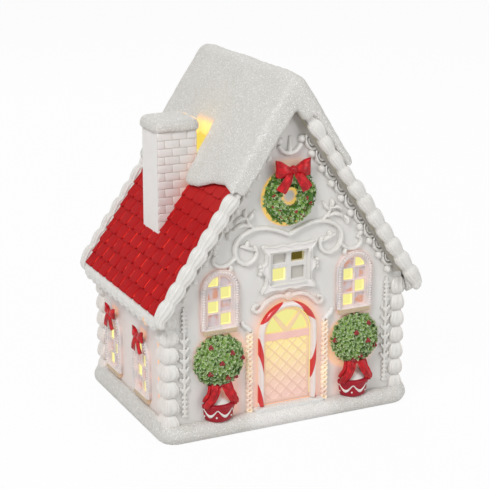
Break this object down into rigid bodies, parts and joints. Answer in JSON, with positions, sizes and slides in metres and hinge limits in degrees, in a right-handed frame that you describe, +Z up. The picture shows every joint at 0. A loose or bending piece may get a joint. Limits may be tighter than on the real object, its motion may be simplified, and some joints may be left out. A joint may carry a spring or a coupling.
{
  "type": "light-up porcelain cottage christmas decoration",
  "caption": "Ceramic gingerbread-style cottage with snow roof, chimney, wreath and pierced lit windows, on a hollow base with a battery lamp, hinged battery door and slide switch",
  "frame": {"origin": "centre of the bounding box at the level of the base's underside", "axes": "+X to the right along the front wall, +Y from the front wall to the rear, +Z up"},
  "size_m": [0.2096, 0.154, 0.2538],
  "materials": {
    "snow_glitter": "white glaze strewn with fine glitter",
    "wall_glaze": "satin warm white porcelain",
    "roof_red": "gloss red glaze",
    "trim_white": "satin white relief",
    "trim_green": "satin green leaves on white",
    "leaf_green": "satin green with frosted tips and dark red berries",
    "bow_red": "gloss red glaze",
    "pot_red": "satin red with white soil snow",
    "window_lit": "translucent porcelain lit from behind",
    "door_lit": "translucent porcelain lit from behind",
    "candy_stripe": "gloss red and white stripes",
    "cover_plastic": "fine matte white",
    "switch_black": "matte black with ribs",
    "cell_jacket": "satin metal jacket with a dark band",
    "contact_steel": "bright nickel plate",
    "board_green": "satin solder mask",
    "bulb_glass": "frosted warm globe"
  },
  "bodies": {
    "house": {"snow_base": "snow_glitter", "snow_cap": "snow_glitter", "chimney_snow": "snow_glitter", "house_walls": "wall_glaze", "chimney_stack": "wall_glaze", "roof_left": "roof_red", "roof_right": "roof_red", "rake_icing_front_left": "trim_white", "rake_icing_front_right": "trim_white", "rake_icing_rear_left": "trim_white", "rake_icing_rear_right": "trim_white", "eave_icing_left": "trim_white", "eave_icing_right": "trim_white", "quoin_front_left": "trim_white", "quoin_front_right": "trim_white", "quoin_rear_left": "trim_white", "quoin_rear_right": "trim_white", "drip_trim_left": "trim_white", "drip_trim_right": "trim_white", "rope_column_left": "trim_white", "rope_column_right": "trim_white", "gable_scroll": "trim_white", "gable_fleur": "trim_white", "door_pediment": "trim_white", "door_step": "trim_white", "pilaster_left": "trim_green", "pilaster_right": "trim_green", "wreath": "leaf_green", "topiary_ball_left": "leaf_green", "topiary_ball_right": "leaf_green", "wreath_bow": "bow_red", "topiary_bow_left": "bow_red", "topiary_bow_right": "bow_red", "side_bow_left_front": "bow_red", "side_bow_left_rear": "bow_red", "side_bow_right_front": "bow_red", "side_bow_right_rear": "bow_red", "topiary_pot_left": "pot_red", "topiary_pot_right": "pot_red", "attic_window": "window_lit", "front_window_left": "window_lit", "front_window_right": "window_lit", "side_window_left_front": "window_lit", "side_window_left_rear": "window_lit", "side_window_right_front": "window_lit", "side_window_right_rear": "window_lit", "door_panel": "door_lit", "candy_arch": "candy_stripe", "bottom_cover": "cover_plastic", "cell_1": "cell_jacket", "cell_2": "cell_jacket", "cell_3": "cell_jacket", "contact_strip_front": "contact_steel", "contact_strip_rear": "contact_steel", "cover_screw_left": "contact_steel", "cover_screw_right": "contact_steel", "lamp_board": "board_green", "lamp_bulb": "bulb_glass"},
    "battery_door": {"battery_door": "cover_plastic"},
    "switch": {"switch_slider": "switch_black"}
  },
  "joints": [
    {"name": "battery_door_hinge", "type": "hinge", "parent": "house", "child": "battery_door", "pos_m": [0, -0.0285, 0.0025], "axis": [-1, 0, 0], "range_deg": [0, 90]},
    {"name": "switch_slide", "type": "slide", "parent": "house", "child": "switch", "axis": [0, 1, 0], "range_m": [0, 0.004]}
  ]
}
